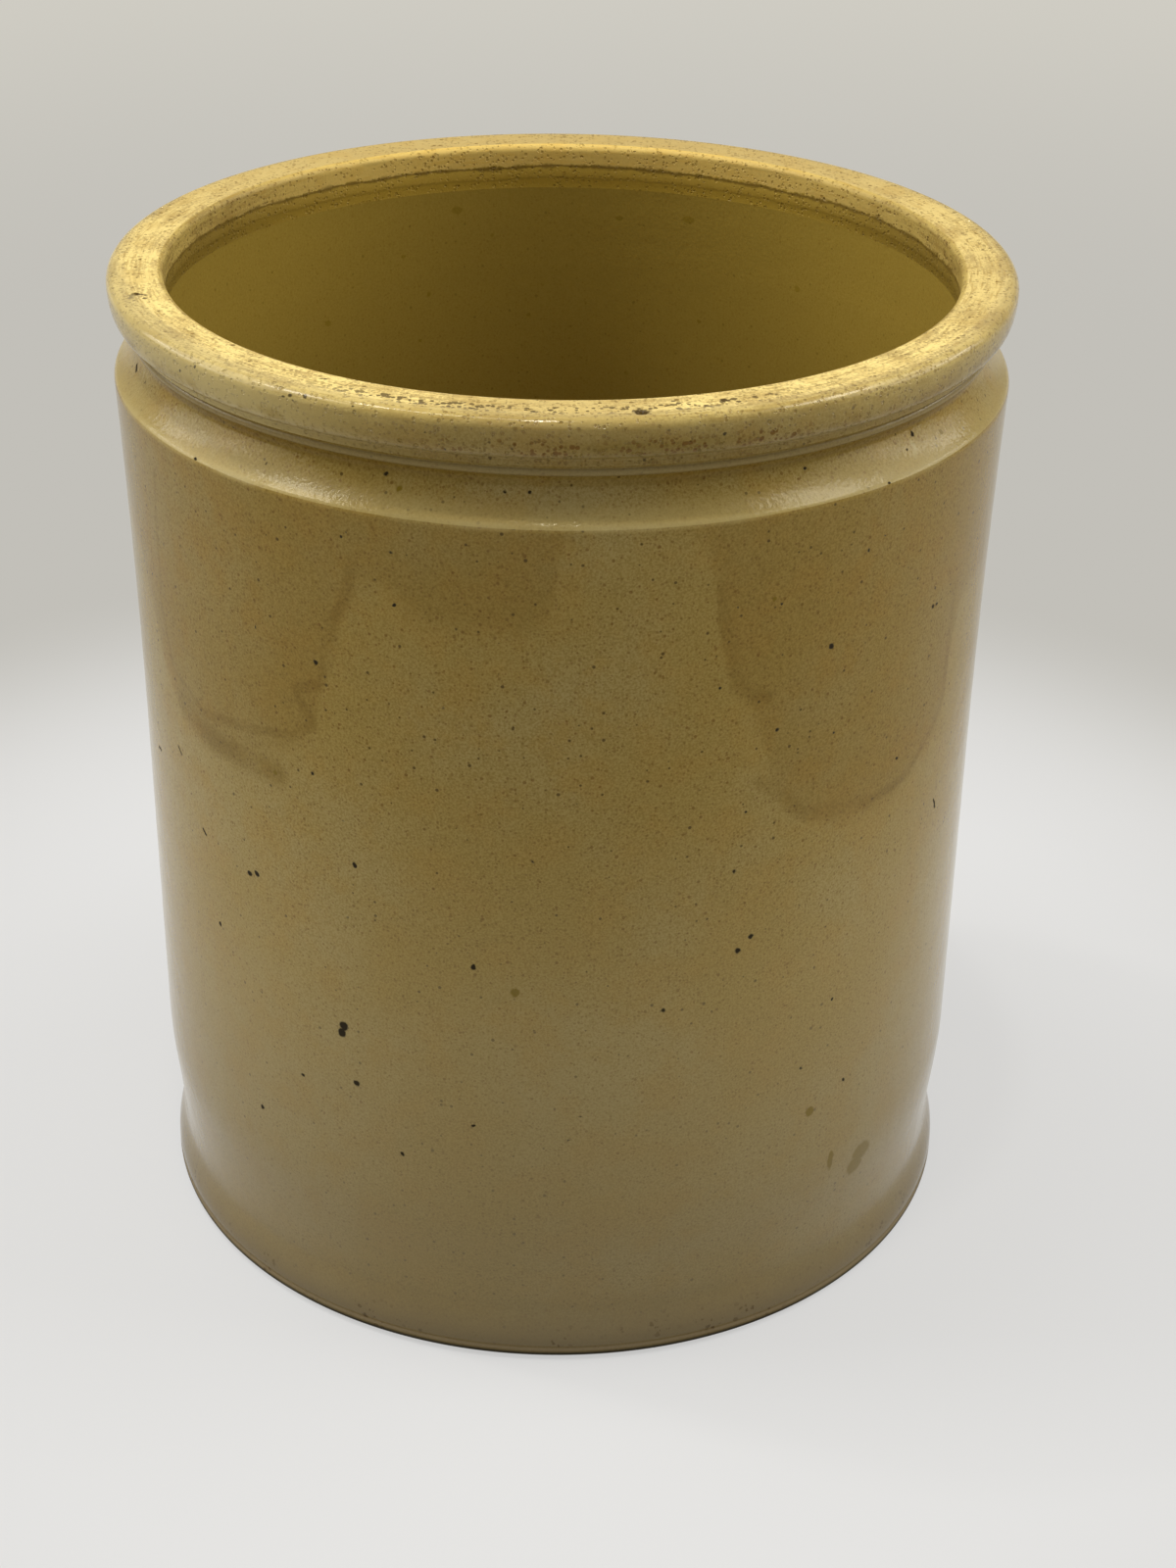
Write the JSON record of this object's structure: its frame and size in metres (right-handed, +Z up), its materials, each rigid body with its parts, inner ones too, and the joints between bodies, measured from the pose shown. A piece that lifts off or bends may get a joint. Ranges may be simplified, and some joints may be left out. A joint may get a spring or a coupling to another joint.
{
  "type": "stoneware jar",
  "caption": "Straight-sided stoneware storage jar with a thick rolled rim, a tie groove under it, a crisp shoulder and a soft waist above the foot.",
  "frame": {"origin": "middle of the underside, on the surface that the jar stands on", "axes": "+Z up along the jar's axis, -Y towards the viewer of the picture, +X to the viewer's right"},
  "size_m": [0.15, 0.15, 0.174],
  "materials": {
    "bare_foot": "thinly glazed stoneware with a bare, greyish brown standing edge",
    "wall_glaze": "glossy olive-tan salt glaze with fine brown speckle and a few black iron spots",
    "collar_glaze": "glossy olive-tan salt glaze, a little thicker and darker in the groove",
    "worn_rim": "worn matt tan-yellow top with fine pits and scratches, glossy on its outer face"
  },
  "bodies": {
    "root": {"base_slab": "bare_foot", "body_wall": "wall_glaze", "shoulder_collar": "collar_glaze", "rim_ring": "worn_rim"}
  },
  "joints": []
}
